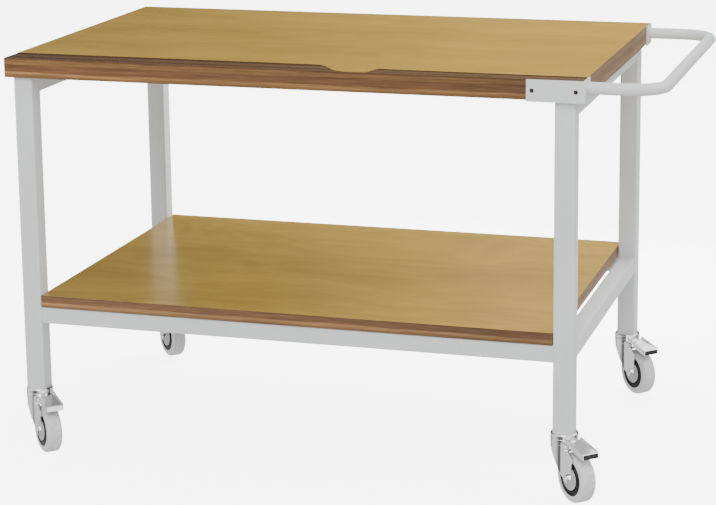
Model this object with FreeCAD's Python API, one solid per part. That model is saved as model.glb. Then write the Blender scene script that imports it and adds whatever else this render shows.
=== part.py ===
import FreeCAD, Part
import math
import os

# Mobile work table: a thick board on a welded square-tube frame, a lower shelf, a push handle at
# the right-hand end and four braked swivel castors. Millimetres. +X runs along the worktop to the
# handle, +Y to the rear, +Z up from the floor. Every piece is one solid, or a group of like solids.

# Worktop board, with the face veneer cut back along the front edge
WORKTOP_LENGTH = 1250.0
WORKTOP_DEPTH = 790.0
WORKTOP_THICKNESS = 42.5
VENEER_THICKNESS = 0.8
LEFT_STRIP_WIDTH = 68.0
LEFT_STRIP_LENGTH = 670.0
LEFT_STRIP_CURVE = 90.0
TONGUE_WIDTH = 40.0
RIGHT_STRIP_WIDTH = 46.0
RIGHT_STRIP_CURVE = 18.0
BOARD_EDGE_RADIUS = 1.0

# Legs and rails, square tube
LEG_SECTION = 42.4
LEG_WALL = 2.0
LEG_CORNER_RADIUS = 4.0
LEG_LENGTH = 690.5
LEG_END_INSET = 17.3
LEG_FACE_INSET = 7.3
RAIL_SECTION = 37.0
RAIL_WALL = 2.0
RAIL_CORNER_RADIUS = 3.0
LOWER_RAIL_RISE = 148.5
LEG_INSERT_HEIGHT = 45.0
LEG_INSERT_CLEARANCE = 0.05

# Lower shelf
SHELF_THICKNESS = 26.5
SHELF_END_GAP = 1.0

# Push handle and its brackets
HANDLE_TUBE_DIAMETER = 25.0
HANDLE_TUBE_WALL = 2.0
HANDLE_REACH = 150.0
HANDLE_BEND_RADIUS = 65.0
HANDLE_INSET = 31.0
HANDLE_DROP = 19.0
BRACKET_SHEET = 3.0
BRACKET_HEIGHT = 44.5
BRACKET_TOP_DROP = 0.5
BRACKET_PLATE_LENGTH = 115.0
BRACKET_TAB_LENGTH = 56.0
BRACKET_SCREW_END_MARGIN = 11.5
BRACKET_SCREW_CORNER_MARGIN = 15.0

# Screws: countersunk in the brackets, pan head below the rails
BRACKET_SCREW_RADIUS = 2.25
BRACKET_SCREW_LENGTH = 30.0
BRACKET_SCREW_HEAD_RADIUS = 4.5
BRACKET_SCREW_HEAD_DEPTH = 2.5
SCREW_SOCKET_RADIUS = 2.2
SCREW_SOCKET_DEPTH = 2.0
BOARD_SCREW_RADIUS = 3.0
BOARD_SCREW_BITE = 18.0
BOARD_SCREW_HEAD_RADIUS = 6.0
BOARD_SCREW_HEAD_HEIGHT = 3.5
BOARD_SCREW_END_MARGIN = 90.0
SCREW_HOLE_CLEARANCE = 0.25
WORKTOP_SCREWS_PER_RAIL = 3
SHELF_SCREWS_PER_RAIL = 4

# Castor wheel
WHEEL_RADIUS = 51.5
TYRE_WIDTH = 33.0
TYRE_SHOULDER_RADIUS = 7.0
RIM_RADIUS = 37.0
RIM_RING_WIDTH = 32.5
RIM_RING_DEPTH = 10.0
RIM_WEB_THICKNESS = 10.0
RIM_GROOVE_RADIUS = 2.2
HUB_RADIUS = 14.0
HUB_WIDTH = 33.0
BUSH_RADIUS = 8.0
AXLE_RADIUS = 5.0
AXLE_HEAD_FLATS = 16.0
AXLE_HEAD_HEIGHT = 6.0
AXLE_END = 2.0
GUARD_RADIUS = 24.5
GUARD_THICKNESS = 1.4
GUARD_DISH_RADIUS = 18.0
GUARD_DISH_DEPTH = 0.5
RUNNING_CLEARANCE = 0.05
SIDE_CLEARANCE = 0.6

# Castor head, ball race and fork
CASTOR_TRAIL = 48.0
CASTOR_REST_ANGLE = -46.5
HEAD_RADIUS = 29.0
HEAD_HEIGHT = 10.0
HEAD_EDGE_RADIUS = 4.0
STEM_RADIUS = 8.0
STEM_LENGTH = 38.0
KING_PIN_RADIUS = 6.0
KING_PIN_HEAD_RADIUS = 9.0
KING_PIN_HEAD_HEIGHT = 4.0
KING_PIN_PLAY = 0.3
RACE_GAP = 0.5
BALL_RADIUS = 3.0
BALL_CIRCLE_RADIUS = 20.0
BALL_CLEARANCE = 0.1
BALL_COUNT = 16
CROWN_THICKNESS = 12.5
CROWN_RING_HEIGHT = 5.5
CROWN_EDGE_RADIUS = 1.5
WHEEL_HEADROOM = 9.7
FORK_WALL = 2.5
FORK_CROWN_INSET = 0.5
FORK_CHEEK_WIDTH = 20.0
FORK_ARCH_FRONT = 20.0
FORK_ARCH_BULGE = 3.7
FORK_BROW_RUN = 8.0
FORK_BROW_RISE = 3.0
FORK_BROW_DROP = 10.0
FORK_BROW_OVERHANG = 4.0

# Brake pin and pedal
BRAKE_PIN_OFFSET = 38.0
BRAKE_PIN_RISE = 4.7
BRAKE_PIN_RADIUS = 3.0
BRAKE_PIN_STAND_OUT = 4.5
PEDAL_SHEET = 2.0
PEDAL_WIDTH = 40.0
PEDAL_REACH = 100.0
PEDAL_HEAD_GAP = 3.0
PEDAL_ROOT_RISE = 17.0
PEDAL_TIP_RISE = 10.0
PEDAL_LIP_DEPTH = 12.0
PEDAL_RIM_HEIGHT = 5.0
PEDAL_FLANGE_START = 12.0
PEDAL_FLANGE_SLOPE = 8.0
PEDAL_FLANGE_DEPTH = 7.0
PEDAL_EDGE_RADIUS = 3.0
PEDAL_EAR_RADIUS = 5.0
PEDAL_EAR_GAP = 2.0
PEDAL_TRAVEL = 10.0
SHOE_START = 25.0
SHOE_LENGTH = 14.0
SHOE_WIDTH = 24.0
SHOE_GAP = 0.4

# Levels and places that follow from the sizes above
axle_height = WHEEL_RADIUS
wheel_top = 2 * WHEEL_RADIUS
crown_bottom = wheel_top + WHEEL_HEADROOM
crown_top = crown_bottom + CROWN_THICKNESS
fork_top = crown_top - CROWN_RING_HEIGHT
head_bottom = crown_top + RACE_GAP
leg_bottom = head_bottom + HEAD_HEIGHT
worktop_bottom = leg_bottom + LEG_LENGTH
worktop_top = worktop_bottom + WORKTOP_THICKNESS
lower_rail_bottom = leg_bottom + LOWER_RAIL_RISE
shelf_bottom = lower_rail_bottom + RAIL_SECTION
upper_rail_bottom = worktop_bottom - RAIL_SECTION
leg_x = WORKTOP_LENGTH / 2 - LEG_END_INSET - LEG_SECTION / 2
leg_y = WORKTOP_DEPTH / 2 - LEG_FACE_INSET - LEG_SECTION / 2
long_rail_length = 2 * leg_x - LEG_SECTION
side_rail_length = 2 * leg_y - LEG_SECTION
cheek_inner = HUB_WIDTH / 2 + SIDE_CLEARANCE + GUARD_THICKNESS
cheek_outer = cheek_inner + FORK_WALL
skirt_radius = HEAD_RADIUS - FORK_CROWN_INSET
fork_crease = math.sqrt(skirt_radius ** 2 - cheek_outer ** 2)
pin_height = wheel_top + BRAKE_PIN_RISE
ear_outer = cheek_inner - PEDAL_EAR_GAP

PLACES = {
    "front_left": (-1, -1),
    "front_right": (1, -1),
    "rear_left": (-1, 1),
    "rear_right": (1, 1),
}
UP = FreeCAD.Vector(0, 0, 1)
ACROSS = FreeCAD.Vector(0, 1, 0)
ALONG = FreeCAD.Vector(1, 0, 0)
TOLERANCE = 1e-4


def vec(x, y, z):
    return FreeCAD.Vector(x, y, z)


def block(low, high):
    """Box between two corners."""
    size = high - low
    return Part.makeBox(size.x, size.y, size.z, low)


def polygon_face(points):
    """Flat face inside straight runs through the points."""
    return Part.Face(Part.makePolygon(points + points[:1]))


def rod(radius, start, end):
    """Cylinder between two points."""
    run = end - start
    return Part.makeCylinder(radius, run.Length, start, run)


def ring_edges(shape, radius):
    """Circular edges of one radius."""
    return [edge for edge in shape.Edges
            if isinstance(edge.Curve, Part.Circle) and abs(edge.Curve.Radius - radius) < TOLERANCE]


def edges_where(shape, test):
    """Edges whose ends both satisfy the test."""
    return [edge for edge in shape.Edges if all(test(vertex.Point) for vertex in edge.Vertexes)]


def even_places(span, margin, count):
    """Places spread evenly along a span centred on zero, kept a margin from its ends."""
    first = -span / 2 + margin
    step = (span - 2 * margin) / (count - 1)
    return [first + step * index for index in range(count)]


def rounded_square(size, radius):
    """Wire of a square with rounded corners, centred on the origin in the XY plane."""
    half = size / 2
    sharp = Part.makeBox(size, size, size, vec(-half, -half, 0))
    upright = edges_where(sharp, lambda p: True)
    upright = [edge for edge in upright if edge.Vertexes[0].Z != edge.Vertexes[1].Z]
    rounded = sharp.makeFillet(radius, upright)
    return next(face for face in rounded.Faces if face.CenterOfMass.z < TOLERANCE).OuterWire


def square_tube(size, wall, radius, length):
    """Hollow square tube that stands on the origin."""
    outer = Part.Face(rounded_square(size, radius)).extrude(UP * length)
    inner = Part.Face(rounded_square(size - 2 * wall, radius - wall)).extrude(UP * length)
    return outer.cut(inner)


def lying_tube(length, direction, centre):
    """Rail tube of a length along a level direction, with its middle at a point."""
    tube = square_tube(RAIL_SECTION, RAIL_WALL, RAIL_CORNER_RADIUS, length)
    tube.translate(vec(0, 0, -length / 2))
    turn = FreeCAD.Rotation(UP, direction)
    tube.Placement = FreeCAD.Placement(centre, turn).multiply(tube.Placement)
    return tube


def eased_board(low, high):
    """Board with its sharp edges eased."""
    board = block(low, high)
    return board.makeFillet(BOARD_EDGE_RADIUS, board.Edges)


def bezier(*points):
    curve = Part.BezierCurve()
    curve.setPoles(list(points))
    return curve.toShape()


def strip_face(corner, far, near, start):
    """Top face of a cut-back strip: square at the corner end, swept out to the front edge at the other."""
    edges = [
        Part.makeLine(start, corner),
        Part.makeLine(corner, vec(corner.x, far.y, far.z)),
        Part.makeLine(vec(corner.x, far.y, far.z), far),
        bezier(far, vec((far.x + near.x) / 2, far.y, far.z), vec((far.x + near.x) / 2, near.y, near.z), near),
    ]
    if (near - start).Length > TOLERANCE:
        edges.append(Part.makeLine(near, start))
    return Part.Face(Part.Wire(edges))


def worktop():
    """Board with the cut-back veneer strips and the pilot holes of its screws."""
    left = -WORKTOP_LENGTH / 2
    front = -WORKTOP_DEPTH / 2
    board = eased_board(vec(left, front, worktop_bottom), vec(-left, -front, worktop_top))
    floor = worktop_top - VENEER_THICKNESS
    left_near = vec(left + LEFT_STRIP_LENGTH + LEFT_STRIP_CURVE, front, floor)
    left_far = vec(left + LEFT_STRIP_LENGTH, front + LEFT_STRIP_WIDTH, floor)
    right_near = left_near + ALONG * TONGUE_WIDTH
    right_far = vec(right_near.x + RIGHT_STRIP_CURVE, front + RIGHT_STRIP_WIDTH, floor)
    left_strip = strip_face(vec(left, front, floor), left_far, left_near, left_near)
    right_strip = strip_face(vec(-left, front, floor), right_far, right_near, right_near)
    for strip in (left_strip, right_strip):
        board = board.cut(strip.extrude(UP * WORKTOP_THICKNESS))
    for place in bracket_screw_places():
        board = board.cut(bracket_screw_body(place))
    for foot in worktop_screw_feet():
        board = board.cut(rod(BOARD_SCREW_RADIUS, foot, foot + UP * (RAIL_SECTION + BOARD_SCREW_BITE)))
    return board


def lower_shelf():
    """Shelf board between the legs, flush with their front and rear faces."""
    half_length = long_rail_length / 2 - SHELF_END_GAP
    half_depth = leg_y + LEG_SECTION / 2
    board = eased_board(vec(-half_length, -half_depth, shelf_bottom),
                        vec(half_length, half_depth, shelf_bottom + SHELF_THICKNESS))
    for foot in shelf_screw_feet():
        board = board.cut(rod(BOARD_SCREW_RADIUS, foot, foot + UP * (RAIL_SECTION + BOARD_SCREW_BITE)))
    return board


def leg(place):
    side_x, side_y = PLACES[place]
    tube = square_tube(LEG_SECTION, LEG_WALL, LEG_CORNER_RADIUS, LEG_LENGTH)
    tube.translate(vec(side_x * leg_x, side_y * leg_y, leg_bottom))
    return tube


def leg_inserts():
    """Plugs in the leg ends, bored for the castor stems."""
    size = LEG_SECTION - 2 * (LEG_WALL + LEG_INSERT_CLEARANCE)
    plug = Part.Face(rounded_square(size, LEG_CORNER_RADIUS - LEG_WALL)).extrude(UP * LEG_INSERT_HEIGHT)
    plug = plug.cut(Part.makeCylinder(STEM_RADIUS + LEG_INSERT_CLEARANCE, LEG_INSERT_HEIGHT))
    plugs = []
    for side_x, side_y in PLACES.values():
        copy = plug.copy()
        copy.translate(vec(side_x * leg_x, side_y * leg_y, leg_bottom))
        plugs.append(copy)
    return Part.makeCompound(plugs)


def drilled_rail(rail, feet):
    """Rail with through holes over the feet of its screws."""
    for foot in feet:
        rail = rail.cut(rod(BOARD_SCREW_RADIUS + SCREW_HOLE_CLEARANCE, foot, foot + UP * RAIL_SECTION))
    return rail


def upper_rail(side):
    centre = vec(side * leg_x, 0, upper_rail_bottom + RAIL_SECTION / 2)
    rail = lying_tube(side_rail_length, ACROSS, centre)
    return drilled_rail(rail, [foot for foot in worktop_screw_feet() if foot.x * side > 0])


def lower_side_rail(side):
    centre = vec(side * leg_x, 0, lower_rail_bottom + RAIL_SECTION / 2)
    return lying_tube(side_rail_length, ACROSS, centre)


def lower_long_rail(side):
    centre = vec(0, side * leg_y, lower_rail_bottom + RAIL_SECTION / 2)
    rail = lying_tube(long_rail_length, ALONG, centre)
    return drilled_rail(rail, [foot for foot in shelf_screw_feet() if foot.y * side > 0])


def worktop_screw_feet():
    """Points under the upper rails where the worktop screws go in."""
    rows = even_places(side_rail_length, BOARD_SCREW_END_MARGIN, WORKTOP_SCREWS_PER_RAIL)
    return [vec(side * leg_x, row, upper_rail_bottom) for side in (-1, 1) for row in rows]


def shelf_screw_feet():
    """Points under the long rails where the shelf screws go in."""
    rows = even_places(long_rail_length, BOARD_SCREW_END_MARGIN, SHELF_SCREWS_PER_RAIL)
    return [vec(row, side * leg_y, lower_rail_bottom) for side in (-1, 1) for row in rows]


def board_screws(feet):
    """Pan-head screws up through a rail into a board."""
    screws = []
    for foot in feet:
        shank = rod(BOARD_SCREW_RADIUS, foot, foot + UP * (RAIL_SECTION + BOARD_SCREW_BITE))
        head = rod(BOARD_SCREW_HEAD_RADIUS, foot - UP * BOARD_SCREW_HEAD_HEIGHT, foot)
        head = head.makeFillet(BOARD_SCREW_HEAD_HEIGHT / 2, [head.Edges[2]])
        screws.append(shank.fuse(head).removeSplitter())
    return Part.makeCompound(screws)


def bracket_screw_places():
    """Screw axes on the bracket plates: outer point, and the direction into the board."""
    end = WORKTOP_LENGTH / 2
    columns = (end - BRACKET_PLATE_LENGTH + BRACKET_SCREW_END_MARGIN, end - BRACKET_SCREW_CORNER_MARGIN)
    height = worktop_top - BRACKET_TOP_DROP - BRACKET_HEIGHT / 2
    face = WORKTOP_DEPTH / 2 + BRACKET_SHEET
    return [(vec(column, side * face, height), ACROSS * -side) for side in (-1, 1) for column in columns]


def bracket_screw_body(place):
    """Countersunk screw without its socket."""
    start, inward = place
    shank = Part.makeCylinder(BRACKET_SCREW_RADIUS, BRACKET_SCREW_LENGTH, start, inward)
    head = Part.makeCone(BRACKET_SCREW_HEAD_RADIUS, BRACKET_SCREW_RADIUS, BRACKET_SCREW_HEAD_DEPTH,
                         start, inward)
    return shank.fuse(head).removeSplitter()


def bracket_screws():
    screws = []
    for place in bracket_screw_places():
        start, inward = place
        socket = Part.makeCylinder(SCREW_SOCKET_RADIUS, SCREW_SOCKET_DEPTH, start, inward)
        screws.append(bracket_screw_body(place).cut(socket))
    return Part.makeCompound(screws)


def handle_bracket(side):
    """Angle plate on the worktop's edge, with a tab round the corner for the handle."""
    end = WORKTOP_LENGTH / 2
    face = WORKTOP_DEPTH / 2
    bottom = worktop_top - BRACKET_TOP_DROP - BRACKET_HEIGHT
    outline = [
        (end - BRACKET_PLATE_LENGTH, face + BRACKET_SHEET),
        (end + BRACKET_SHEET, face + BRACKET_SHEET),
        (end + BRACKET_SHEET, face - BRACKET_TAB_LENGTH),
        (end, face - BRACKET_TAB_LENGTH),
        (end, face),
        (end - BRACKET_PLATE_LENGTH, face),
    ]
    plate = polygon_face([vec(x, side * y, bottom) for x, y in outline]).extrude(UP * BRACKET_HEIGHT)
    corner = edges_where(plate, lambda p: p.x > end + TOLERANCE and side * p.y > face + TOLERANCE)
    upright = [edge for edge in corner if edge.BoundBox.ZLength > TOLERANCE]
    plate = plate.makeFillet(BRACKET_SHEET, upright)
    for place in bracket_screw_places():
        if place[0].y * side > 0:
            plate = plate.cut(bracket_screw_body(place))
    return plate


def push_handle():
    """Round tube, out from one bracket tab, across the end and back to the other."""
    start = WORKTOP_LENGTH / 2 + BRACKET_SHEET
    grip = WORKTOP_LENGTH / 2 + HANDLE_REACH
    arm = WORKTOP_DEPTH / 2 - HANDLE_INSET
    height = worktop_top - HANDLE_DROP
    bend_x = grip - HANDLE_BEND_RADIUS
    bend_y = arm - HANDLE_BEND_RADIUS
    diagonal = HANDLE_BEND_RADIUS * math.sqrt(0.5)
    front_bend = Part.Arc(vec(bend_x, -arm, height), vec(bend_x + diagonal, -bend_y - diagonal, height),
                          vec(grip, -bend_y, height))
    rear_bend = Part.Arc(vec(grip, bend_y, height), vec(bend_x + diagonal, bend_y + diagonal, height),
                         vec(bend_x, arm, height))
    path = Part.Wire([
        Part.makeLine(vec(start, -arm, height), vec(bend_x, -arm, height)),
        front_bend.toShape(),
        Part.makeLine(vec(grip, -bend_y, height), vec(grip, bend_y, height)),
        rear_bend.toShape(),
        Part.makeLine(vec(bend_x, arm, height), vec(start, arm, height)),
    ])
    radius = HANDLE_TUBE_DIAMETER / 2
    skins = []
    for size in (radius, radius - HANDLE_TUBE_WALL):
        section = Part.Wire(Part.makeCircle(size, vec(start, -arm, height), ALONG))
        skins.append(path.makePipeShell([section], True, True))
    return skins[0].cut(skins[1])


# One castor in its own frame: origin on the floor under the swivel axis, +X along the trail to the
# wheel, +Y along the axle, +Z up.


def turned(profile):
    """Solid of revolution about the axle, from points given as (across, radius)."""
    face = polygon_face([vec(CASTOR_TRAIL, across, axle_height + radius) for across, radius in profile])
    return face.revolve(vec(CASTOR_TRAIL, 0, axle_height), ACROSS, 360)


def across_rod(radius, along, height, near, far):
    """Cylinder parallel to the axle."""
    return rod(radius, vec(along, near, height), vec(along, far, height))


def castor_head():
    """Stem, race cup and riveted king pin in one turned piece."""
    rivet_top = crown_bottom - KING_PIN_PLAY
    rivet_bottom = rivet_top - KING_PIN_HEAD_HEIGHT
    cup = Part.makeCylinder(HEAD_RADIUS, HEAD_HEIGHT, vec(0, 0, head_bottom))
    rim = [edge for edge in ring_edges(cup, HEAD_RADIUS) if edge.CenterOfMass.z > head_bottom + TOLERANCE]
    cup = cup.makeFillet(HEAD_EDGE_RADIUS, rim)
    stem = Part.makeCylinder(STEM_RADIUS, STEM_LENGTH, vec(0, 0, leg_bottom))
    king_pin = Part.makeCylinder(KING_PIN_RADIUS, head_bottom - rivet_bottom, vec(0, 0, rivet_bottom))
    rivet = Part.makeCylinder(KING_PIN_HEAD_RADIUS, KING_PIN_HEAD_HEIGHT, vec(0, 0, rivet_bottom))
    return cup.fuse([stem, king_pin, rivet]).removeSplitter().cut(ball_groove())


def ball_level():
    return crown_top + RACE_GAP / 2


def ball_groove():
    return Part.makeTorus(BALL_CIRCLE_RADIUS, BALL_RADIUS + BALL_CLEARANCE, vec(0, 0, ball_level()))


def race_balls():
    balls = []
    for index in range(BALL_COUNT):
        angle = 2 * math.pi * index / BALL_COUNT
        centre = vec(BALL_CIRCLE_RADIUS * math.cos(angle), BALL_CIRCLE_RADIUS * math.sin(angle), ball_level())
        balls.append(Part.makeSphere(BALL_RADIUS, centre))
    return balls


def fork_skin(inset):
    """Solid inside the fork's pressed sheet, inset from its outer face: round skirt and flat cheeks."""
    half_width = cheek_outer - inset
    skirt = Part.makeCylinder(skirt_radius - inset, fork_top)
    cheeks = block(vec(0, -half_width, 0), vec(CASTOR_TRAIL + WHEEL_RADIUS, half_width, fork_top))
    return skirt.fuse(cheeks)


def fork_side_view():
    """Solid with the fork's outline as seen along the axle: arched in front, with a round foot."""
    half_cheek = FORK_CHEEK_WIDTH / 2

    def at(along, height):
        return vec(along, -HEAD_RADIUS, height)

    arch_foot = at(fork_crease, axle_height)
    arch_top = at(-FORK_ARCH_FRONT, fork_top)
    arch_run = arch_top - arch_foot
    arch_middle = (arch_foot + arch_top) / 2 + ACROSS.cross(arch_run).normalize() * FORK_ARCH_BULGE
    heel = at(CASTOR_TRAIL + half_cheek, axle_height)
    brow = [
        arch_top,
        at(HEAD_RADIUS, fork_top),
        at(BRAKE_PIN_OFFSET + FORK_BROW_RUN, pin_height + FORK_BROW_RISE),
        at(CASTOR_TRAIL + half_cheek + FORK_BROW_OVERHANG, pin_height - FORK_BROW_DROP),
        heel,
    ]
    slant = math.acos(half_cheek / (CASTOR_TRAIL - fork_crease))
    toe = at(CASTOR_TRAIL - half_cheek * math.cos(slant), axle_height - half_cheek * math.sin(slant))
    sole = at(CASTOR_TRAIL, axle_height - half_cheek)
    edges = [Part.Arc(arch_foot, arch_middle, arch_top).toShape()]
    edges += [Part.makeLine(first, second) for first, second in zip(brow, brow[1:])]
    edges += [Part.Arc(heel, sole, toe).toShape(), Part.makeLine(toe, arch_foot)]
    return Part.Face(Part.Wire(edges)).extrude(ACROSS * (2 * HEAD_RADIUS))


def castor_fork():
    """Pressed fork: crown with the lower race, round skirt in front and two flat cheeks for the axle."""
    sheet = fork_skin(0).cut(fork_skin(FORK_WALL)).common(fork_side_view())
    crown = Part.makeCylinder(HEAD_RADIUS, CROWN_THICKNESS, vec(0, 0, crown_bottom))
    crown = crown.makeFillet(CROWN_EDGE_RADIUS, ring_edges(crown, HEAD_RADIUS))
    fork = sheet.fuse(crown)
    cuts = [
        across_rod(AXLE_RADIUS + RUNNING_CLEARANCE, CASTOR_TRAIL, axle_height, -HEAD_RADIUS, HEAD_RADIUS),
        across_rod(BRAKE_PIN_RADIUS, BRAKE_PIN_OFFSET, pin_height, -HEAD_RADIUS, HEAD_RADIUS),
        Part.makeCylinder(KING_PIN_RADIUS + RUNNING_CLEARANCE, leg_bottom),
        ball_groove(),
    ]
    return fork.cut(cuts).removeSplitter()


def castor_axle():
    """Bolt through the cheeks, with its hexagon head on the far side."""
    end = cheek_outer + AXLE_HEAD_HEIGHT + AXLE_END
    shank = across_rod(AXLE_RADIUS, CASTOR_TRAIL, axle_height, -end, cheek_outer)
    return shank.fuse(hexagon(cheek_outer, cheek_outer + AXLE_HEAD_HEIGHT)).removeSplitter()


def castor_axle_nut():
    nut = hexagon(-cheek_outer - AXLE_HEAD_HEIGHT, -cheek_outer)
    return nut.cut(across_rod(AXLE_RADIUS, CASTOR_TRAIL, axle_height, -HEAD_RADIUS * 2, 0))


def hexagon(near, far):
    """Hexagon bar on the axle, its outer corners turned off."""
    corner = AXLE_HEAD_FLATS / math.sqrt(3)
    points = []
    for index in range(6):
        angle = math.pi * index / 3
        along = CASTOR_TRAIL + corner * math.cos(angle)
        height = axle_height + corner * math.sin(angle)
        points.append(vec(along, near, height))
    bar = polygon_face(points).extrude(ACROSS * (far - near))
    blank = across_rod(corner, CASTOR_TRAIL, axle_height, near, far)
    return bar.common(blank.makeChamfer(corner - AXLE_HEAD_FLATS / 2, ring_edges(blank, corner)))


def castor_bush():
    """Sleeve clamped between the cheeks, on which the wheel turns."""
    sleeve = across_rod(BUSH_RADIUS, CASTOR_TRAIL, axle_height, -cheek_inner, cheek_inner)
    bore = across_rod(AXLE_RADIUS + RUNNING_CLEARANCE, CASTOR_TRAIL, axle_height, -cheek_inner, cheek_inner)
    return sleeve.cut(bore)


def castor_thread_guards():
    """Dished discs between the cheeks and the wheel, one each side."""
    face = cheek_inner - GUARD_THICKNESS
    profile = [
        (face, BUSH_RADIUS + RUNNING_CLEARANCE),
        (face, GUARD_RADIUS),
        (cheek_inner - GUARD_DISH_DEPTH, GUARD_RADIUS),
        (cheek_inner, GUARD_DISH_RADIUS),
        (cheek_inner, BUSH_RADIUS + RUNNING_CLEARANCE),
    ]
    far_disc = turned(profile)
    near_disc = far_disc.mirror(vec(0, 0, 0), ACROSS)
    return Part.makeCompound([far_disc, near_disc])


def castor_rim():
    """Moulded wheel centre: hub, web and grooved outer ring."""
    ring = RIM_RING_WIDTH / 2
    ring_inner = RIM_RADIUS - RIM_RING_DEPTH
    far_side = [
        (HUB_WIDTH / 2, BUSH_RADIUS + RUNNING_CLEARANCE),
        (HUB_WIDTH / 2, HUB_RADIUS),
        (RIM_WEB_THICKNESS / 2, HUB_RADIUS),
        (RIM_WEB_THICKNESS / 2, ring_inner),
        (ring, ring_inner),
        (ring, RIM_RADIUS),
    ]
    near_side = [(-across, radius) for across, radius in reversed(far_side)]
    groove_circle = RIM_RADIUS - RIM_RING_DEPTH / 2
    grooves = []
    for face in (-ring, ring):
        centre = vec(CASTOR_TRAIL, face, axle_height)
        grooves.append(Part.makeTorus(groove_circle, RIM_GROOVE_RADIUS, centre, ACROSS))
    return turned(far_side + near_side).cut(grooves)


def castor_tyre():
    """Solid tyre on the rim, with rounded shoulders."""
    half = TYRE_WIDTH / 2
    tyre = turned([(-half, RIM_RADIUS), (half, RIM_RADIUS), (half, WHEEL_RADIUS), (-half, WHEEL_RADIUS)])
    return tyre.makeFillet(TYRE_SHOULDER_RADIUS, ring_edges(tyre, WHEEL_RADIUS))


def castor_brake_pin():
    """Riveted pin across the cheeks, with rounded ends."""
    end = cheek_outer + BRAKE_PIN_STAND_OUT
    pin = across_rod(BRAKE_PIN_RADIUS, BRAKE_PIN_OFFSET, pin_height, -end, end)
    return pin.makeFillet(BRAKE_PIN_RADIUS / 2, ring_edges(pin, BRAKE_PIN_RADIUS))


def side_view_solid(outline, half_width):
    """Solid with an outline seen along the axle, points as (along, height) from the brake pin."""
    points = [vec(BRAKE_PIN_OFFSET + along, -half_width, pin_height + height) for along, height in outline]
    return polygon_face(points).extrude(ACROSS * (2 * half_width))


def pedal_tray():
    """Pressed tread plate of the pedal: rims and flanges at the sides, turned down at the tip."""
    root = HEAD_RADIUS + PEDAL_HEAD_GAP - BRAKE_PIN_OFFSET
    tip = PEDAL_REACH - BRAKE_PIN_OFFSET
    slope = (PEDAL_TIP_RISE - PEDAL_ROOT_RISE) / (tip - root)
    flange_end = PEDAL_FLANGE_START + PEDAL_FLANGE_SLOPE

    def face_at(along):
        return PEDAL_ROOT_RISE + slope * (along - root)

    outline = [
        (root, face_at(root) + PEDAL_RIM_HEIGHT),
        (tip, face_at(tip)),
        (tip, face_at(tip) - PEDAL_LIP_DEPTH),
        (flange_end, face_at(flange_end) - PEDAL_FLANGE_DEPTH),
        (PEDAL_FLANGE_START, face_at(PEDAL_FLANGE_START) - PEDAL_SHEET),
        (root, face_at(root) - PEDAL_SHEET),
    ]
    tray = side_view_solid(outline, PEDAL_WIDTH / 2)
    tip_line = BRAKE_PIN_OFFSET + tip - TOLERANCE
    face_line = pin_height + face_at(tip) - TOLERANCE
    rounded = edges_where(tray, lambda p: p.x > tip_line)
    rounded = [edge for edge in rounded if edge.BoundBox.ZMax > face_line]
    tray = tray.makeFillet(PEDAL_EDGE_RADIUS, rounded)
    inner_tip = tip - PEDAL_SHEET
    inside = [
        (root, face_at(root) - PEDAL_SHEET),
        (inner_tip, face_at(inner_tip) - PEDAL_SHEET),
        (inner_tip, -PEDAL_LIP_DEPTH),
        (root, -PEDAL_LIP_DEPTH),
    ]
    above = [
        (root, face_at(root)),
        (tip, face_at(tip)),
        (tip, face_at(root) + PEDAL_RIM_HEIGHT),
        (root, face_at(root) + PEDAL_RIM_HEIGHT),
    ]
    for hollow in (inside, above):
        tray = tray.cut(side_view_solid(hollow, PEDAL_WIDTH / 2 - PEDAL_SHEET))
    return tray, face_at


def pedal_ear(side, face_at):
    """Lug that hangs the pedal on the brake pin."""
    plate = [
        (-PEDAL_EAR_RADIUS, 0),
        (-PEDAL_EAR_RADIUS, face_at(-PEDAL_EAR_RADIUS) - PEDAL_SHEET / 2),
        (PEDAL_EAR_RADIUS, face_at(PEDAL_EAR_RADIUS) - PEDAL_SHEET / 2),
        (PEDAL_EAR_RADIUS, 0),
    ]
    lug = side_view_solid(plate, PEDAL_SHEET / 2)
    lug.translate(ACROSS * (side * (ear_outer - PEDAL_SHEET / 2)))
    near = side * (ear_outer - PEDAL_SHEET)
    eye = across_rod(PEDAL_EAR_RADIUS, BRAKE_PIN_OFFSET, pin_height, near, side * ear_outer)
    return lug.fuse(eye)


def pedal_shoe(face_at):
    """Brake block under the tray, hollowed to lie round the tread when the pedal is down."""
    end = SHOE_START + SHOE_LENGTH
    block_outline = [
        (SHOE_START, face_at(SHOE_START) - PEDAL_SHEET / 2),
        (end, face_at(end) - PEDAL_SHEET / 2),
        (end, -WHEEL_RADIUS),
        (SHOE_START, -WHEEL_RADIUS),
    ]
    shoe = side_view_solid(block_outline, SHOE_WIDTH / 2)
    tread = across_rod(WHEEL_RADIUS + SHOE_GAP, CASTOR_TRAIL, axle_height, -SHOE_WIDTH, SHOE_WIDTH)
    tread.rotate(vec(BRAKE_PIN_OFFSET, 0, pin_height), ACROSS, -PEDAL_TRAVEL)
    return max(shoe.cut(tread).Solids, key=lambda solid: solid.CenterOfMass.z)


def castor_pedal():
    """Brake pedal: tray, two lugs and the brake block."""
    tray, face_at = pedal_tray()
    pedal = tray.fuse([pedal_ear(-1, face_at), pedal_ear(1, face_at), pedal_shoe(face_at)])
    hole_radius = BRAKE_PIN_RADIUS + RUNNING_CLEARANCE
    hole = across_rod(hole_radius, BRAKE_PIN_OFFSET, pin_height, -HEAD_RADIUS, HEAD_RADIUS)
    return pedal.cut(hole).removeSplitter()


def placed(shape, place):
    """Copy of a castor piece under one leg, turned to the resting swivel angle."""
    side_x, side_y = PLACES[place]
    copy = shape.copy()
    copy.rotate(vec(0, 0, 0), UP, CASTOR_REST_ANGLE)
    copy.translate(vec(side_x * leg_x, side_y * leg_y, 0))
    return copy


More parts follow.
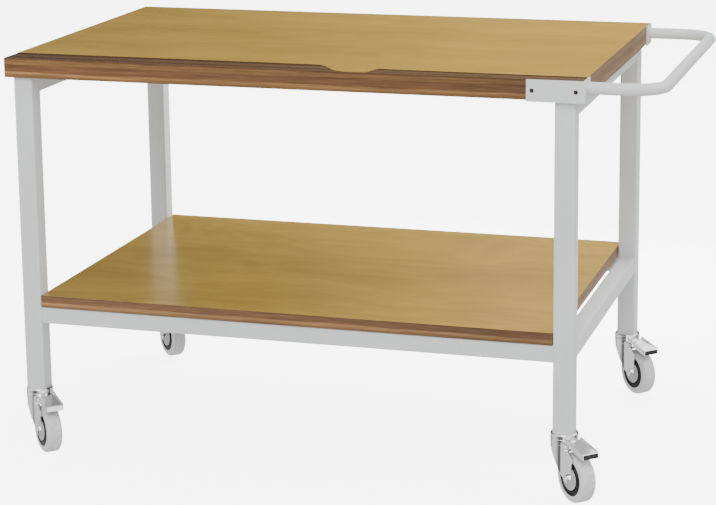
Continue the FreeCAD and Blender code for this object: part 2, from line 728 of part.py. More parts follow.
def castor_pieces():
    """Pieces of one castor, by name."""
    return {
        "head": castor_head(),
        "fork": castor_fork(),
        "axle": castor_axle(),
        "axle_nut": castor_axle_nut(),
        "bush": castor_bush(),
        "thread_guards": castor_thread_guards(),
        "rim": castor_rim(),
        "tyre": castor_tyre(),
        "brake_pin": castor_brake_pin(),
        "pedal": castor_pedal(),
    }


def frame_pieces():
    """Boards, frame, handle and fasteners, by name."""
    pieces = {
        "worktop": worktop(),
        "lower_shelf": lower_shelf(),
        "upper_rail_left": upper_rail(-1),
        "upper_rail_right": upper_rail(1),
        "lower_rail_left": lower_side_rail(-1),
        "lower_rail_right": lower_side_rail(1),
        "lower_rail_front": lower_long_rail(-1),
        "lower_rail_rear": lower_long_rail(1),
        "leg_inserts": leg_inserts(),
        "push_handle": push_handle(),
        "handle_bracket_front": handle_bracket(-1),
        "handle_bracket_rear": handle_bracket(1),
        "bracket_screws": bracket_screws(),
        "worktop_screws": board_screws(worktop_screw_feet()),
        "shelf_screws": board_screws(shelf_screw_feet()),
    }
    for place in PLACES:
        pieces["leg_" + place] = leg(place)
    return pieces


def all_pieces():
    """Every piece of the table, in the table's own frame."""
    pieces = frame_pieces()
    for name, shape in castor_pieces().items():
        for place in PLACES:
            pieces["castor_" + place + "_" + name] = placed(shape, place)
    balls = [placed(ball, place) for place in PLACES for ball in race_balls()]
    pieces["swivel_balls"] = Part.makeCompound(balls)
    return pieces


def main():
    """Set the origin on the floor under the middle of the whole table and write one file per piece."""
    pieces = all_pieces()
    box = Part.makeCompound(list(pieces.values())).optimalBoundingBox(False, False)
    shift = vec(-box.Center.x, -box.Center.y, 0)
    print("shift of the worktop's middle:", shift)
    os.makedirs("parts", exist_ok=True)
    for name, shape in pieces.items():
        moved = shape.copy()
        moved.translate(shift)
        moved.exportStep("parts/" + name + ".step")
        print(name, len(moved.Solids), moved.isValid(), round(moved.Volume, 1))


main()
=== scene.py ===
import math

import bpy
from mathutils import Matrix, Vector


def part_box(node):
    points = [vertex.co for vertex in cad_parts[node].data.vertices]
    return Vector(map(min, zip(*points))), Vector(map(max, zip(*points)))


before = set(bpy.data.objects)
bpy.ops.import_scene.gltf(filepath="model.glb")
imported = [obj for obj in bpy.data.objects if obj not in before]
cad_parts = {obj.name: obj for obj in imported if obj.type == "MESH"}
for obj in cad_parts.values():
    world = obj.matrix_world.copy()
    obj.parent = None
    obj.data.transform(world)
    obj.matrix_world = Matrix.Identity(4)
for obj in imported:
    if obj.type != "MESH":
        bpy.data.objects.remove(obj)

bl_info = {
    "name": "Mobile Work Table",
    "version": (1, 0, 0),
    "blender": (4, 5, 0),
    "location": "3D View > Sidebar > Work Table",
    "description": "Finishes a veneered work table on castors and sets it on a plain studio floor",
    "category": "Object",
}

PLACES = ("front_left", "front_right", "rear_left", "rear_right")
PAINTED_NODES = (
    "leg_front_left", "leg_front_right", "leg_rear_left", "leg_rear_right",
    "upper_rail_left", "upper_rail_right",
    "lower_rail_front", "lower_rail_rear", "lower_rail_left", "lower_rail_right",
    "push_handle", "handle_bracket_front", "handle_bracket_rear",
)
# Boards: material, node, share of the ply layers that its edge shows, gloss of its varnish
BOARDS = (("Worktop Board", "worktop", 1.0, 0.2), ("Shelf Board", "lower_shelf", 0.68, 0.4))
SCREW_NODES = ("bracket_screws", "worktop_screws", "shelf_screws")
PLATED_PIECES = ("head", "fork", "brake_pin", "pedal", "axle", "axle_nut")
VENEER_THICKNESS = 0.0008
RING_COUNT = 14
LEFT_STRIP_WIDTH = 0.068
RIGHT_STRIP_WIDTH = 0.046
# Where along the worktop the wide strip ends and the narrow one begins
STRIP_CHANGE = (0.06, 0.1)
# Shares of each colour at the left and right ends of the boards, on their faces and long edges. On the
# faces the lighter right end is partly painted light, as if lit from that side, and partly a change of hue
FACE_TINTS_AND_LIGHT = ((0.70, 0.71, 0.9), (1.07, 1.04, 0.82))
EDGE_SHADES = (1.05, 0.68)
# Least part of a normal along an axis for a face to count as facing that way
FACING = 0.7
# Turn of the castors' axles from the Y axis, and the radii between which side becomes tread
AXLE_TURN = math.radians(46.5)
TREAD_RADII = (0.0485, 0.0512)
DUST_HEIGHT = 0.16

# Camera fitted to the edges of the table in the photograph
CAMERA_PLACE = (1.36086, -4.54524, 1.62329)
CAMERA_TURN = (78.3363, 0.5946, 16.6516)
CAMERA_LENS = 110.178
CAMERA_SHIFT = (-0.01487, -0.15268)

# Cards that show only in reflections: name, azimuths and elevations in degrees as seen from the
# table, brightness
CARD_DISTANCE = 15.0
REFLECTION_CARDS = (
    ("rear_flag", (50, 109), (-8, 12.5), 0.05),
    ("rear_half_flag", (50, 109), (12.5, 25.5), 0.09),
    ("pedal_softbox", (91, 103), (25.5, 31), 3.0),
    ("rear_left_flag", (109, 140), (-8, 25.5), 0.04),
    ("nose_flag", (138, 152), (-40, -4), 0.0),
    ("right_flag", (-20, 35), (-40, 8), 0.0),
    ("front_flag", (-128, -88), (-40, -5), 0.12),
    ("front_half_flag", (-143, -128), (-40, -5), 0.45),
    ("side_flag", (104, 138), (26, 45), 0.3),
    ("front_softbox", (-87, -23), (-40, 10), 2.2),
    ("left_softbox", (-165, -126), (0, 30), 2.5),
)

# Soft lights: name, place, point aimed at, size, share of the light power, whether metal mirrors it
LIGHTS = (
    ("key_light", (0.4, -4.8, 4.6), (0.0, 0.0, 0.5), 4.0, 1.0, True),
    ("fill_light", (5.0, 0.6, 3.2), (0.0, 0.0, 0.5), 5.0, 0.6, True),
    ("rear_light", (0.8, 3.2, 3.8), (0.0, 0.0, 0.5), 3.0, 0.5, False),
    ("shelf_light", (0.1, 1.6, 0.9), (0.0, 0.2, 0.35), 1.0, 0.13, False),
)
WORLD_STRENGTH = 1.05


class WorkTableSettings(bpy.types.PropertyGroup):
    """Colours and sizes of the table's finishes and of the studio."""

    veneer_light: bpy.props.FloatVectorProperty(
        name="Veneer Light", description="Colour of the pale figure in the board faces",
        subtype="COLOR", size=3, min=0, max=1, default=(0.56, 0.346, 0.051))
    veneer_deep: bpy.props.FloatVectorProperty(
        name="Veneer Deep", description="Colour of the dark figure in the board faces",
        subtype="COLOR", size=3, min=0, max=1, default=(0.365, 0.225, 0.026))
    ply_light: bpy.props.FloatVectorProperty(
        name="Ply Light", description="Colour of the pale layers in the board edges",
        subtype="COLOR", size=3, min=0, max=1, default=(0.28, 0.143, 0.052))
    ply_deep: bpy.props.FloatVectorProperty(
        name="Ply Deep", description="Colour of the dark layers in the board edges",
        subtype="COLOR", size=3, min=0, max=1, default=(0.095, 0.045, 0.018))
    paint: bpy.props.FloatVectorProperty(
        name="Paint", description="Colour of the frame and the handle",
        subtype="COLOR", size=3, min=0, max=1, default=(0.665, 0.682, 0.678))
    tyre: bpy.props.FloatVectorProperty(
        name="Tyre", description="Colour of the castor tyres",
        subtype="COLOR", size=3, min=0, max=1, default=(0.70, 0.70, 0.70))
    floor: bpy.props.FloatVectorProperty(
        name="Floor", description="Colour of the studio floor",
        subtype="COLOR", size=3, min=0, max=1, default=(0.92, 0.92, 0.92))
    floor_glow: bpy.props.FloatProperty(
        name="Floor Glow", description="Light that the lit studio floor gives off",
        min=0, max=10, default=6)
    paint_grain: bpy.props.FloatProperty(
        name="Paint Grain", description="Size of the fine texture in the paint",
        subtype="DISTANCE", unit="LENGTH", min=0.0005, max=0.02, default=0.003)
    light_power: bpy.props.FloatProperty(
        name="Light Power", description="Power of the main soft light",
        subtype="POWER", unit="POWER", min=0, max=2000, default=260)


def add(tree, kind, values=None, **attributes):
    """New node with its attributes set and its inputs filled: sockets are linked, other values are set."""
    node = tree.nodes.new(kind)
    for name, value in attributes.items():
        setattr(node, name, value)
    for key, value in (values or {}).items():
        if isinstance(value, bpy.types.NodeSocket):
            tree.links.new(value, node.inputs[key])
        else:
            node.inputs[key].default_value = value
    return node


def calc(tree, operation, first, second=0.0):
    """Result of one arithmetic node."""
    return add(tree, "ShaderNodeMath", {0: first, 1: second}, operation=operation).outputs[0]


def vector_calc(tree, operation, first, second=(0.0, 0.0, 0.0), output=0):
    """Result of one vector node."""
    return add(tree, "ShaderNodeVectorMath", {0: first, 1: second}, operation=operation).outputs[output]


def blend(tree, factor, first, second, mode="MIX"):
    """Two colours mixed by a factor."""
    values = {0: factor, 6: colour(first), 7: colour(second)}
    return add(tree, "ShaderNodeMix", values, data_type="RGBA", blend_type=mode).outputs[2]


def mixed(tree, factor, first, second):
    """Two values mixed by a factor."""
    return add(tree, "ShaderNodeMix", {0: factor, 2: first, 3: second}).outputs[0]


def colour(value):
    """Colour with an alpha, unless it is a socket already."""
    if isinstance(value, bpy.types.NodeSocket):
        return value
    return (value[0], value[1], value[2], 1.0)


def between(tree, value, low, high, start=0.0, end=1.0):
    """Value carried from one range to another, and held at its ends."""
    values = {"Value": value, "From Min": low, "From Max": high, "To Min": start, "To Max": end}
    return add(tree, "ShaderNodeMapRange", values).outputs[0]


def noise(tree, vector, scale, detail=4.0, roughness=0.5):
    """Noise value over a position."""
    values = {"Vector": vector, "Scale": scale, "Detail": detail, "Roughness": roughness}
    return add(tree, "ShaderNodeTexNoise", values).outputs["Fac"]


def stretched(tree, vector, factors):
    """Position scaled by its own factor along each axis."""
    return vector_calc(tree, "MULTIPLY", vector, factors)


def ramp(tree, value, stops):
    """Colour ramp through (place, colour) stops."""
    node = add(tree, "ShaderNodeValToRGB", {0: value})
    elements = node.color_ramp.elements
    while len(elements) < len(stops):
        elements.new(1.0)
    for element, (place, stop) in zip(elements, stops):
        element.position = place
        element.color = colour(stop)
    return node.outputs[0]


def group_tree(name, inputs, outputs):
    """Empty shader group; inputs as (name, socket type, default), outputs as (name, socket type)."""
    tree = bpy.data.node_groups.new(name, "ShaderNodeTree")
    for label, kind, default in inputs:
        socket = tree.interface.new_socket(label, in_out="INPUT", socket_type=kind)
        if default is not None:
            socket.default_value = default
    for label, kind in outputs:
        tree.interface.new_socket(label, in_out="OUTPUT", socket_type=kind)
    return tree, tree.nodes.new("NodeGroupInput"), tree.nodes.new("NodeGroupOutput")


def use_group(tree, group, values):
    """Node that uses a shader group."""
    return add(tree, "ShaderNodeGroup", values, node_tree=group)


def tinted(value, factor):
    """Colour made darker or lighter."""
    return tuple(min(1.0, channel * factor) for channel in value)


def new_material(name):
    """Material with an empty tree: its tree, its coordinates and its shader."""
    material = bpy.data.materials.new(name)
    material.use_nodes = True
    tree = material.node_tree
    tree.nodes.clear()
    coordinates = tree.nodes.new("ShaderNodeTexCoord")
    shader = tree.nodes.new("ShaderNodeBsdfPrincipled")
    output = tree.nodes.new("ShaderNodeOutputMaterial")
    tree.links.new(shader.outputs[0], output.inputs["Surface"])
    return material, tree, coordinates, shader


def set_shader(tree, shader, values):
    """Fill the shader's inputs."""
    for name, value in values.items():
        if isinstance(value, bpy.types.NodeSocket):
            tree.links.new(value, shader.inputs[name])
        else:
            shader.inputs[name].default_value = value


def bump(tree, height, strength, distance):
    """Normal raised by a height."""
    values = {"Height": height, "Strength": strength, "Distance": distance}
    return add(tree, "ShaderNodeBump", values).outputs[0]


def finish_node(node, material):
    """Give a CAD node its material."""
    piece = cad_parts[node]
    piece.data.materials.clear()
    piece.data.materials.append(material)


def face_group():
    """Masks of a board's top, underside and ends, from its own normal."""
    tree, source, sink = group_tree("Board Faces", [("Normal", "NodeSocketVector", None)],
                                    [(face, "NodeSocketFloat") for face in ("Top", "Under", "End")])
    axes = add(tree, "ShaderNodeSeparateXYZ", {0: source.outputs["Normal"]})
    tree.links.new(calc(tree, "GREATER_THAN", axes.outputs["Z"], FACING), sink.inputs["Top"])
    tree.links.new(calc(tree, "LESS_THAN", axes.outputs["Z"], -FACING), sink.inputs["Under"])
    end = calc(tree, "GREATER_THAN", calc(tree, "ABSOLUTE", axes.outputs["X"]), FACING)
    tree.links.new(end, sink.inputs["End"])
    return tree


def figure_group():
    """Rotary-cut veneer figure: broad clouds, soft flames, growth rings and fine pores along the board."""
    tree, source, sink = group_tree("Veneer Figure", [("Vector", "NodeSocketVector", None)],
                                    [("Tone", "NodeSocketFloat"), ("Pores", "NodeSocketFloat")])
    place = source.outputs["Vector"]
    clouds = noise(tree, stretched(tree, place, (1.6, 4.5, 1.0)), 1.3, 3.0)
    wander = add(tree, "ShaderNodeCombineXYZ", {"Y": calc(tree, "MULTIPLY", clouds, 0.4)}).outputs[0]
    bent = vector_calc(tree, "ADD", place, wander)
    flames = noise(tree, stretched(tree, bent, (1.0, 9.0, 1.0)), 2.2, 5.0, 0.55)
    streaks = noise(tree, stretched(tree, place, (1.5, 90.0, 1.0)), 3.0, 4.0, 0.6)
    growth = noise(tree, stretched(tree, bent, (0.9, 4.0, 1.0)), 1.4, 1.0)
    rings = calc(tree, "SINE", calc(tree, "MULTIPLY", growth, RING_COUNT * math.tau))
    tone = calc(tree, "ADD", calc(tree, "MULTIPLY", clouds, 0.4), calc(tree, "MULTIPLY", flames, 0.4))
    tone = calc(tree, "ADD", tone, calc(tree, "MULTIPLY", streaks, 0.2))
    tone = calc(tree, "ADD", tone, calc(tree, "MULTIPLY", rings, 0.03))
    pores = noise(tree, stretched(tree, place, (18.0, 700.0, 1.0)), 2.0, 2.0)
    tree.links.new(between(tree, tone, 0.36, 0.64), sink.inputs["Tone"])
    tree.links.new(between(tree, pores, 0.35, 0.7), sink.inputs["Pores"])
    return tree


def ply_group(settings):
    """Layers of a plywood edge, by height, with streaks along the layers."""
    tree, source, sink = group_tree(
        "Ply Layers", [("Vector", "NodeSocketVector", None), ("Height", "NodeSocketFloat", 0.5)],
        [("Color", "NodeSocketColor"), ("Streak", "NodeSocketFloat")])
    light = settings.ply_light
    deep = settings.ply_deep
    place = source.outputs["Vector"]
    waver = noise(tree, stretched(tree, place, (5.0, 5.0, 60.0)), 2.0, 3.0)
    waver = between(tree, waver, 0.3, 0.7, -0.035, 0.035)
    layers = ramp(tree, calc(tree, "ADD", source.outputs["Height"], waver), (
        (0.00, tinted(light, 0.60)), (0.12, tinted(light, 0.78)), (0.20, tinted(light, 1.22)),
        (0.26, tinted(light, 1.15)), (0.32, tinted(deep, 1.75)), (0.58, tinted(deep, 1.8)),
        (0.64, tinted(deep, 1.4)), (0.70, tinted(light, 0.68)), (0.88, tinted(light, 0.72)),
        (0.94, tinted(deep, 1.1)), (1.00, tinted(deep, 1.3))))
    streak = noise(tree, stretched(tree, place, (5.0, 5.0, 150.0)), 2.0, 5.0, 0.7)
    shade = between(tree, streak, 0.3, 0.7, 0.55, 1.4)
    tree.links.new(blend(tree, 1.0, layers, shade, "MULTIPLY"), sink.inputs["Color"])
    tree.links.new(streak, sink.inputs["Streak"])
    return tree


def strip_colour(tree, axes, pores, low, settings):
    """Bare ply where the veneer is cut back: a dark glue line in pale wood, and a dark band along the
    veneer that is painted shadow of the veneer's cut edge.
    """
    width = between(tree, axes.outputs["X"], *STRIP_CHANGE, LEFT_STRIP_WIDTH, RIGHT_STRIP_WIDTH)
    depth = calc(tree, "DIVIDE", calc(tree, "SUBTRACT", axes.outputs["Y"], low.y), width)
    pale = tinted(settings.ply_light, 0.52)
    dark = tinted(settings.ply_deep, 0.56)
    # The dark band from 0.82 up to the veneer is painted shadow of its cut edge; the band at 0.25 is a
    # glue line
    colours = ramp(tree, depth, (
        (0.0, pale), (0.19, pale), (0.25, dark), (0.33, dark),
        (0.42, pale), (0.70, pale), (0.82, dark), (1.0, dark)))
    return blend(tree, 1.0, colours, between(tree, pores, 0.0, 1.0, 0.85, 1.1), "MULTIPLY")


def board_material(name, node, layer_share, gloss, groups, settings):
    """Varnished plywood: veneer on top, layers at the edges, bare ply where the veneer is cut back."""
    low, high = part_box(node)
    material, tree, coordinates, shader = new_material(name)
    place = coordinates.outputs["Object"]
    axes = add(tree, "ShaderNodeSeparateXYZ", {0: place})
    faces = use_group(tree, groups["faces"], {"Normal": coordinates.outputs["Normal"]})
    figure = use_group(tree, groups["figure"], {"Vector": place})
    height = between(tree, axes.outputs["Z"], low.z, high.z, 0.0, layer_share)
    ply = use_group(tree, groups["ply"], {"Vector": place, "Height": height})
    veneer = blend(tree, figure.outputs["Tone"], settings.veneer_deep, settings.veneer_light)
    pores = between(tree, figure.outputs["Pores"], 0.0, 1.0, 0.9, 1.03)
    veneer = blend(tree, 1.0, veneer, pores, "MULTIPLY")
    strip = strip_colour(tree, axes, figure.outputs["Pores"], low, settings)
    bare = calc(tree, "LESS_THAN", axes.outputs["Z"], high.z - VENEER_THICKNESS / 2)
    # Faces lighter towards the right end: partly painted light from the right, partly a change of hue
    # along the board
    painted_light_and_tint = blend(tree, between(tree, axes.outputs["X"], low.x, high.x), *FACE_TINTS_AND_LIGHT)
    face = blend(tree, 1.0, blend(tree, bare, veneer, strip), painted_light_and_tint, "MULTIPLY")
    darker_right = between(tree, axes.outputs["X"], low.x, high.x, *EDGE_SHADES)
    along = blend(tree, 1.0, ply.outputs["Color"], darker_right, "MULTIPLY")
    across = blend(tree, 0.35, ply.outputs["Color"], (0.23, 0.16, 0.12))
    edge = blend(tree, faces.outputs["End"], along, across)
    backing = blend(tree, figure.outputs["Tone"], (0.07, 0.062, 0.055), (0.11, 0.10, 0.09))
    base = blend(tree, faces.outputs["Top"], blend(tree, faces.outputs["Under"], edge, backing), face)
    rough = between(tree, figure.outputs["Tone"], 0.0, 1.0, 0.26, 0.18)
    rough_edge = between(tree, ply.outputs["Streak"], 0.3, 0.7, 0.6, 0.45)
    rough = mixed(tree, faces.outputs["Top"], rough_edge, rough)
    relief = calc(tree, "ADD", calc(tree, "MULTIPLY", figure.outputs["Pores"], 0.4), ply.outputs["Streak"])
    set_shader(tree, shader, {
        "Base Color": base, "Roughness": rough, "Specular IOR Level": gloss,
        "Normal": bump(tree, relief, 0.12, 0.0006),
    })
    return material


def grain_group():
    """Fine even mottling with a slow drift under it, for paint, rubber and plastic."""
    tree, source, sink = group_tree(
        "Fine Grain", [("Vector", "NodeSocketVector", None), ("Size", "NodeSocketFloat", 0.003)],
        [("Grain", "NodeSocketFloat"), ("Drift", "NodeSocketFloat")])
    scale = calc(tree, "DIVIDE", 1.0, source.outputs["Size"])
    tree.links.new(noise(tree, source.outputs["Vector"], scale, 3.0, 0.6), sink.inputs["Grain"])
    tree.links.new(noise(tree, source.outputs["Vector"], 7.0, 3.0), sink.inputs["Drift"])
    return tree


def dust_group():
    """Mask of the dust that settles near the floor."""
    tree, source, sink = group_tree("Floor Dust", [("Vector", "NodeSocketVector", None)],
                                    [("Dust", "NodeSocketFloat")])
    axes = add(tree, "ShaderNodeSeparateXYZ", {0: source.outputs["Vector"]})
    low = between(tree, axes.outputs["Z"], 0.0, DUST_HEIGHT, 1.0, 0.0)
    patch = between(tree, noise(tree, source.outputs["Vector"], 60.0, 4.0), 0.4, 0.7)
    tree.links.new(calc(tree, "MULTIPLY", low, patch), sink.inputs["Dust"])
    return tree


def paint_material(groups, settings):
    """Satin powder coat with a fine texture."""
    material, tree, coordinates, shader = new_material("Frame Paint")
    place = coordinates.outputs["Object"]
    grain = use_group(tree, groups["grain"], {"Vector": place, "Size": settings.paint_grain})
    tone = between(tree, grain.outputs["Grain"], 0.3, 0.7, 0.93, 1.05)
    drift = between(tree, grain.outputs["Drift"], 0.35, 0.65, 0.97, 1.02)
    base = blend(tree, 1.0, blend(tree, 1.0, settings.paint, tone, "MULTIPLY"), drift, "MULTIPLY")
    dust = use_group(tree, groups["dust"], {"Vector": place})
    base = blend(tree, calc(tree, "MULTIPLY", dust.outputs["Dust"], 0.25), base, (0.42, 0.40, 0.36))
    set_shader(tree, shader, {
        "Base Color": base,
        "Roughness": between(tree, grain.outputs["Grain"], 0.3, 0.7, 0.36, 0.48),
        "Normal": bump(tree, grain.outputs["Grain"], 0.2, 0.0003),
    })
    return material


def plated_material(name, tone, groups):
    """Bright zinc plate, a little uneven and streaked."""
    material, tree, coordinates, shader = new_material(name)
    place = coordinates.outputs["Object"]
    grain = use_group(tree, groups["grain"], {"Vector": place, "Size": 0.004})
    dust = use_group(tree, groups["dust"], {"Vector": place})
    streak = noise(tree, stretched(tree, place, (30.0, 30.0, 400.0)), 2.0, 3.0)
    shade = between(tree, grain.outputs["Drift"], 0.3, 0.7, 0.92, 1.0)
    base = blend(tree, 1.0, tone, shade, "MULTIPLY")
    rough = between(tree, streak, 0.3, 0.7, 0.06, 0.14)
    rough = calc(tree, "ADD", rough, calc(tree, "MULTIPLY", dust.outputs["Dust"], 0.15))
    set_shader(tree, shader, {
        "Base Color": base, "Metallic": 1.0, "Roughness": rough,
        "Normal": bump(tree, grain.outputs["Grain"], 0.06, 0.0004),
    })
    return material


def wheel_radius(tree, coordinates, size):
    """Distance from the wheel's axis, from the place in the piece's own box."""
    centred = vector_calc(tree, "SUBTRACT", coordinates.outputs["Generated"], (0.5, 0.5, 0.5))
    place = vector_calc(tree, "MULTIPLY", centred, size)
    axle = (math.sin(AXLE_TURN), math.cos(AXLE_TURN), 0.0)
    across = vector_calc(tree, "CROSS_PRODUCT", place, axle)
    return vector_calc(tree, "LENGTH", across, output="Value")


def tyre_material(groups, settings):
    """Grey non-marking rubber: smooth sides and a scuffed tread."""
    low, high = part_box("castor_front_left_tyre")
    material, tree, coordinates, shader = new_material("Grey Rubber")
    place = coordinates.outputs["Object"]
    grain = use_group(tree, groups["grain"], {"Vector": place, "Size": 0.002})
    radius = wheel_radius(tree, coordinates, high - low)
    tread = between(tree, radius, *TREAD_RADII)
    scuff = between(tree, noise(tree, place, 140.0, 5.0, 0.7), 0.4, 0.62)
    tone = between(tree, grain.outputs["Grain"], 0.3, 0.7, 0.93, 1.05)
    base = blend(tree, 1.0, settings.tyre, tone, "MULTIPLY")
    worn = calc(tree, "MULTIPLY", calc(tree, "MULTIPLY", tread, scuff), 0.5)
    base = blend(tree, worn, base, tinted(settings.tyre, 0.62))
    set_shader(tree, shader, {
        "Base Color": base,
        "Roughness": between(tree, grain.outputs["Grain"], 0.3, 0.7, 0.5, 0.62),
        "Normal": bump(tree, grain.outputs["Grain"], 0.15, 0.0003),
    })
    return material


def rim_material(groups):
    """Glossy black moulding with a trace of dust."""
    material, tree, coordinates, shader = new_material("Black Plastic")
    place = coordinates.outputs["Object"]
    grain = use_group(tree, groups["grain"], {"Vector": place, "Size": 0.0015})
    dust = use_group(tree, groups["dust"], {"Vector": place})
    dusted = calc(tree, "MULTIPLY", dust.outputs["Dust"], 0.06)
    set_shader(tree, shader, {
        "Base Color": blend(tree, dusted, (0.004, 0.004, 0.0045), (0.3, 0.29, 0.27)),
        "Roughness": between(tree, grain.outputs["Drift"], 0.3, 0.7, 0.1, 0.16),
        "Specular IOR Level": 0.25,
        "Normal": bump(tree, grain.outputs["Grain"], 0.05, 0.0002),
    })
    return material


def grey_plastic_material(groups):
    """Satin grey moulding."""
    material, tree, coordinates, shader = new_material("Grey Plastic")
    grain = use_group(tree, groups["grain"], {"Vector": coordinates.outputs["Object"], "Size": 0.0015})
    base = blend(tree, grain.outputs["Grain"], (0.34, 0.35, 0.36), (0.52, 0.53, 0.54))
    set_shader(tree, shader, {
        "Base Color": base,
        "Roughness": between(tree, grain.outputs["Drift"], 0.3, 0.7, 0.38, 0.5),
        "Normal": bump(tree, grain.outputs["Grain"], 0.1, 0.0002),
    })
    return material


def shared_group(name, make):
    """A shader group by its name, made on first use."""
    return bpy.data.node_groups.get(name) or make()


def surface_groups():
    """The shader groups that several materials share."""
    return {"grain": shared_group("Fine Grain", grain_group),
            "dust": shared_group("Floor Dust", dust_group)}


class WORKTABLE_OT_boards(bpy.types.Operator):
    """Veneer the worktop and the shelf"""

    bl_idname = "worktable.boards"
    bl_label = "Finish Boards"

    def execute(self, context):
        settings = context.scene.work_table
        groups = {"faces": face_group(), "figure": figure_group(), "ply": ply_group(settings)}
        for name, node, layer_share, gloss in BOARDS:
            material = board_material(name, node, layer_share, gloss, groups, settings)
            finish_node(node, material)
        return {"FINISHED"}


class WORKTABLE_OT_frame(bpy.types.Operator):
    """Paint the frame, the handle and its brackets"""

    bl_idname = "worktable.frame"
    bl_label = "Paint Frame"

    def execute(self, context):
        material = paint_material(surface_groups(), context.scene.work_table)
        for node in PAINTED_NODES:
            finish_node(node, material)
        return {"FINISHED"}


class WORKTABLE_OT_fasteners(bpy.types.Operator):
    """Finish the screws"""

    bl_idname = "worktable.fasteners"
    bl_label = "Finish Fasteners"

    def execute(self, context):
        # The screws' dark brown is partly their own finish and partly painted shade of their recessed
        # heads
        steel = plated_material("Screw Steel", (0.24, 0.18, 0.13), surface_groups())
        for node in SCREW_NODES:
            finish_node(node, steel)
        return {"FINISHED"}


class WORKTABLE_OT_castors(bpy.types.Operator):
    """Finish the four castors and the leg inserts that hold them"""

    bl_idname = "worktable.castors"
    bl_label = "Finish Castors"

    def execute(self, context):
        groups = surface_groups()
        plate = plated_material("Bright Zinc", (0.86, 0.86, 0.86), groups)
        steel = plated_material("Bush Steel", (0.42, 0.42, 0.42), groups)
        rubber = tyre_material(groups, context.scene.work_table)
        rim = rim_material(groups)
        plastic = grey_plastic_material(groups)
        finish_node("leg_inserts", plastic)
        finish_node("swivel_balls", plate)
        for place in PLACES:
            prefix = "castor_" + place + "_"
            for piece in PLATED_PIECES:
                finish_node(prefix + piece, plate)
            finish_node(prefix + "bush", steel)
            finish_node(prefix + "tyre", rubber)
            finish_node(prefix + "rim", rim)
            finish_node(prefix + "thread_guards", plastic)
        return {"FINISHED"}


def floor_material(settings):
    """Plain pale floor with a trace of unevenness."""
    material, tree, coordinates, shader = new_material("Studio Floor")
    cloud = noise(tree, coordinates.outputs["Object"], 0.8, 3.0)
    base = blend(tree, 1.0, settings.floor, between(tree, cloud, 0.3, 0.7, 0.985, 1.0), "MULTIPLY")
    set_shader(tree, shader, {
        "Base Color": base, "Roughness": between(tree, cloud, 0.3, 0.7, 0.7, 0.8),
        "Emission Color": base, "Emission Strength": settings.floor_glow,
    })
    return material


def add_floor(settings):
    """Wide lit floor that neither lights the table from below nor shows in its bright metal."""
    bpy.ops.mesh.primitive_circle_add(vertices=96, radius=40, fill_type="NGON", location=(0, 0, -0.0005))
    floor = bpy.context.object
    floor.name = "studio_floor"
    floor.data.materials.append(floor_material(settings))
    floor.visible_glossy = False
    floor.visible_diffuse = False


def card_material(name, brightness):
    """Cloth with a faint weave, dark or lit from behind."""
    material, tree, coordinates, shader = new_material(name)
    weave = noise(tree, coordinates.outputs["Object"], 40.0, 2.0)
    base = blend(tree, weave, (0.02, 0.02, 0.02), (0.04, 0.04, 0.04))
    set_shader(tree, shader, {
        "Base Color": base, "Roughness": between(tree, weave, 0.0, 1.0, 0.85, 0.95),
        "Emission Color": blend(tree, weave, (0.95, 0.95, 0.95), (1.0, 1.0, 1.0)),
        "Emission Strength": brightness,
    })
    return material


def add_card(name, azimuths, elevations, brightness):
    """Card that shows only in reflections, over a range of directions as seen from the table."""
    azimuth = math.radians(sum(azimuths) / 2)
    width = 2 * CARD_DISTANCE * math.tan(math.radians(azimuths[1] - azimuths[0]) / 2)
    bottom, top = (CARD_DISTANCE * math.tan(math.radians(elevation)) for elevation in elevations)
    middle = (bottom + top) / 2
    bpy.ops.mesh.primitive_plane_add(size=1.0)
    card = bpy.context.object
    card.name = name
    card.location = (CARD_DISTANCE * math.cos(azimuth), CARD_DISTANCE * math.sin(azimuth), middle)
    card.scale = (width, top - bottom, 1.0)
    card.rotation_euler = (math.radians(90), 0.0, azimuth - math.radians(90))
    card.data.materials.append(card_material(name.replace("_", " ").title(), brightness))
    for ray in ("camera", "diffuse", "transmission", "shadow"):
        setattr(card, "visible_" + ray, False)


def add_area_light(name, place, target, size, power, mirrored):
    """Square soft light aimed at a point, out of the camera's sight."""
    data = bpy.data.lights.new(name, "AREA")
    data.size = size
    data.energy = power
    light = bpy.data.objects.new(name, data)
    bpy.context.collection.objects.link(light)
    light.location = place
    light.rotation_euler = (Vector(target) - Vector(place)).to_track_quat("-Z", "Y").to_euler()
    light.visible_camera = False
    light.visible_glossy = mirrored


def add_world():
    """Even white surroundings."""
    world = bpy.data.worlds.new("Studio")
    world.use_nodes = True
    background = world.node_tree.nodes["Background"]
    background.inputs["Color"].default_value = (1.0, 1.0, 1.0, 1.0)
    background.inputs["Strength"].default_value = WORLD_STRENGTH
    bpy.context.scene.world = world


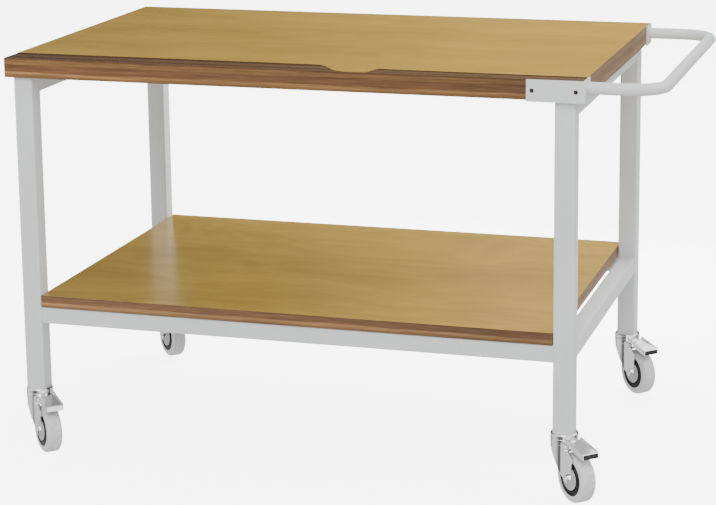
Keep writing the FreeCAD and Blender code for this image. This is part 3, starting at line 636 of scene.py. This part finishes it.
def add_camera():
    """Camera at the photograph's angle."""
    data = bpy.data.cameras.new("photo_camera")
    data.lens = CAMERA_LENS
    data.sensor_fit = "HORIZONTAL"
    data.shift_x, data.shift_y = CAMERA_SHIFT
    camera = bpy.data.objects.new("photo_camera", data)
    bpy.context.collection.objects.link(camera)
    camera.location = CAMERA_PLACE
    camera.rotation_euler = [math.radians(turn) for turn in CAMERA_TURN]
    bpy.context.scene.camera = camera


class WORKTABLE_OT_stage(bpy.types.Operator):
    """Set up the floor, the lights and the camera"""

    bl_idname = "worktable.stage"
    bl_label = "Set Stage"

    def execute(self, context):
        settings = context.scene.work_table
        add_floor(settings)
        add_world()
        for name, place, target, size, share, mirrored in LIGHTS:
            add_area_light(name, place, target, size, share * settings.light_power, mirrored)
        for name, azimuths, elevations, brightness in REFLECTION_CARDS:
            add_card(name, azimuths, elevations, brightness)
        add_camera()
        return {"FINISHED"}


class WORKTABLE_PT_panel(bpy.types.Panel):
    """Sidebar panel with the table's finishes"""

    bl_idname = "WORKTABLE_PT_panel"
    bl_label = "Work Table"
    bl_space_type = "VIEW_3D"
    bl_region_type = "UI"
    bl_category = "Work Table"

    def draw(self, context):
        for name in WorkTableSettings.__annotations__:
            self.layout.prop(context.scene.work_table, name)
        for operator in OPERATORS:
            self.layout.operator(operator.bl_idname)


OPERATORS = (
    WORKTABLE_OT_boards,
    WORKTABLE_OT_frame,
    WORKTABLE_OT_fasteners,
    WORKTABLE_OT_castors,
    WORKTABLE_OT_stage,
)
CLASSES = (WorkTableSettings,) + OPERATORS + (WORKTABLE_PT_panel,)


def register():
    for cls in CLASSES:
        bpy.utils.register_class(cls)
    bpy.types.Scene.work_table = bpy.props.PointerProperty(type=WorkTableSettings)


def unregister():
    del bpy.types.Scene.work_table
    for cls in reversed(CLASSES):
        bpy.utils.unregister_class(cls)


def main():
    """Finish the table and set the stage."""
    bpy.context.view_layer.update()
    register()
    bpy.ops.worktable.boards()
    bpy.ops.worktable.frame()
    bpy.ops.worktable.fasteners()
    bpy.ops.worktable.castors()
    bpy.ops.worktable.stage()


if __name__ == "__main__":
    main()
